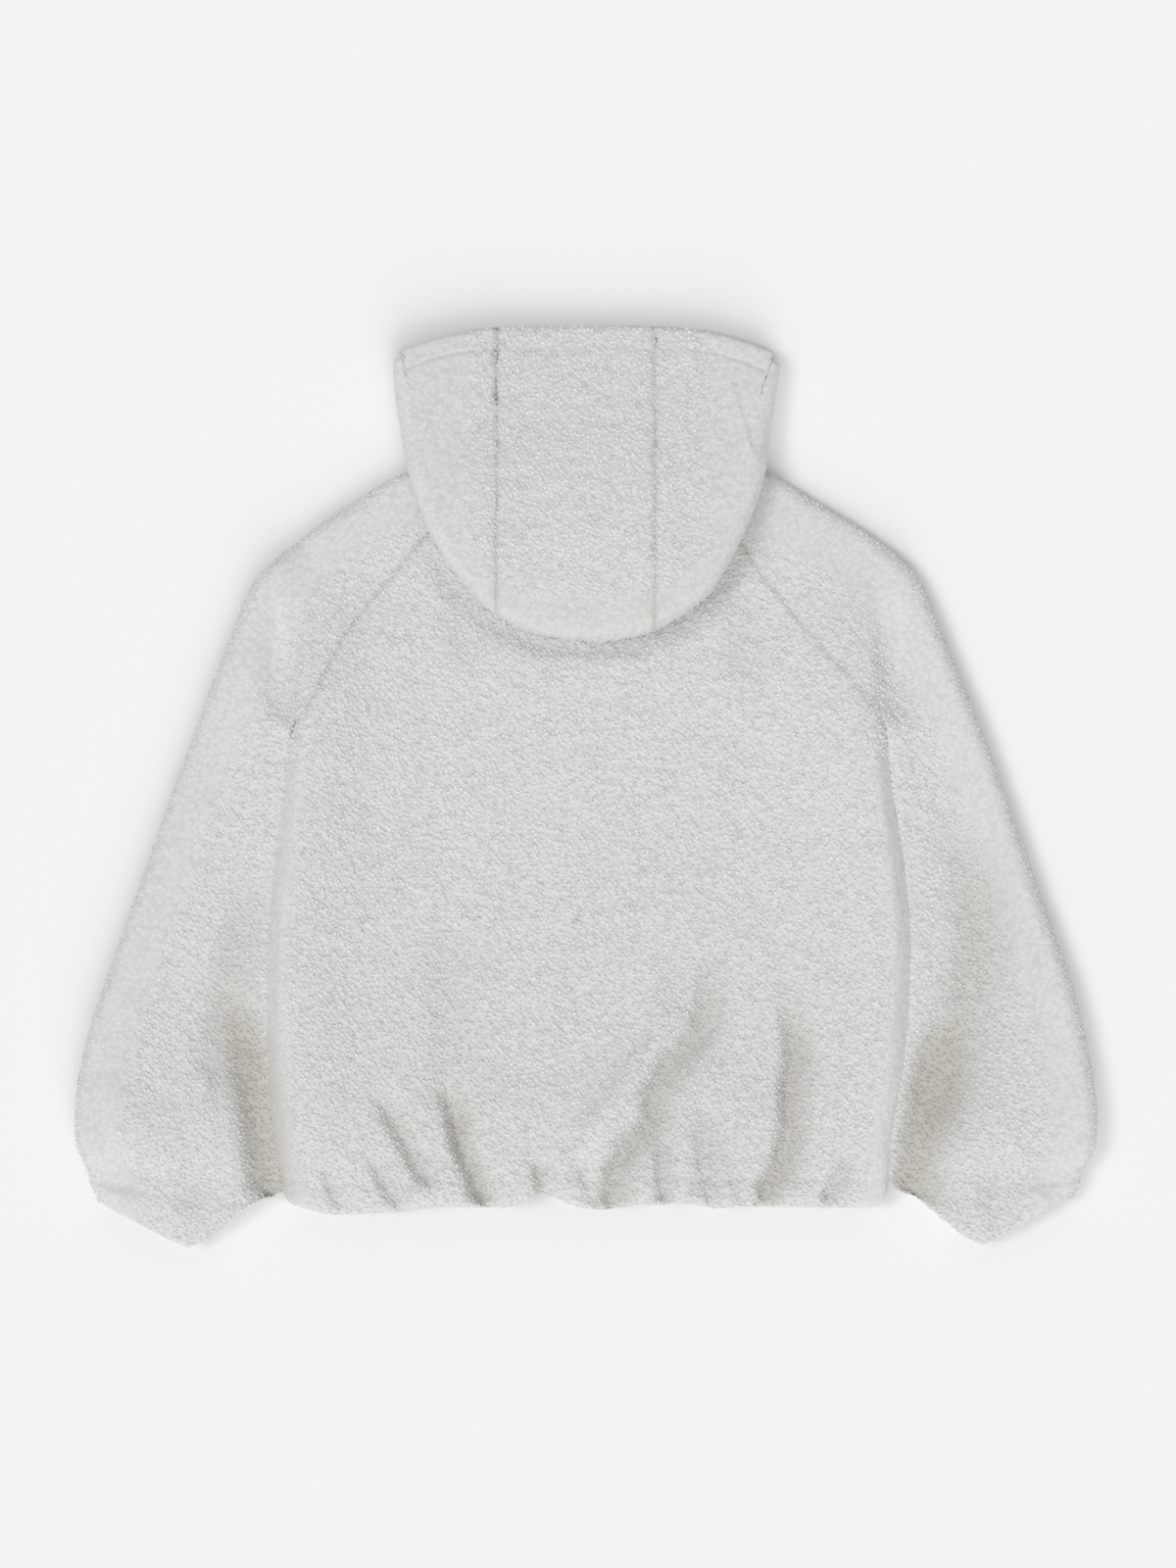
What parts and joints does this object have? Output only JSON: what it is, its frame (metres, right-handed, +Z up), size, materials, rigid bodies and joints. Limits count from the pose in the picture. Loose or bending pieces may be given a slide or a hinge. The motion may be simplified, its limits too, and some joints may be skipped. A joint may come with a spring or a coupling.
{
  "type": "hooded sherpa jacket laid flat",
  "caption": "Hooded zip-front jacket in sherpa pile with raglan sleeves and gathered hem and cuffs, laid flat with its back up.",
  "frame": {"origin": "centre of the bounding box on the plane that the jacket lies on", "axes": "+X to the right of a viewer above the jacket's back, +Y from hem to hood, +Z up from the surface"},
  "size_m": [0.897, 0.807, 0.047],
  "materials": {
    "pile": "curly cream-white sherpa pile, matt with a soft nap",
    "tape": "woven off-white polyester zip tape",
    "zip_metal": "off-white enamelled metal"
  },
  "bodies": {
    "jacket": {"back": "pile", "front_left": "pile", "front_right": "pile", "sleeve_left": "pile", "sleeve_right": "pile", "hood_centre": "pile", "hood_left": "pile", "hood_right": "pile", "zip_tape_left": "tape", "zip_tape_right": "tape", "zip_chain": "zip_metal", "zip_slider": "zip_metal"},
    "zip_pull": {"zip_pull": "zip_metal"}
  },
  "joints": [
    {"name": "zip_pull_swing", "type": "hinge", "parent": "jacket", "child": "zip_pull", "pos_m": [0.0025, 0.188, 0.0018], "axis": [1, 0, 0], "range_deg": [0, 170]}
  ]
}
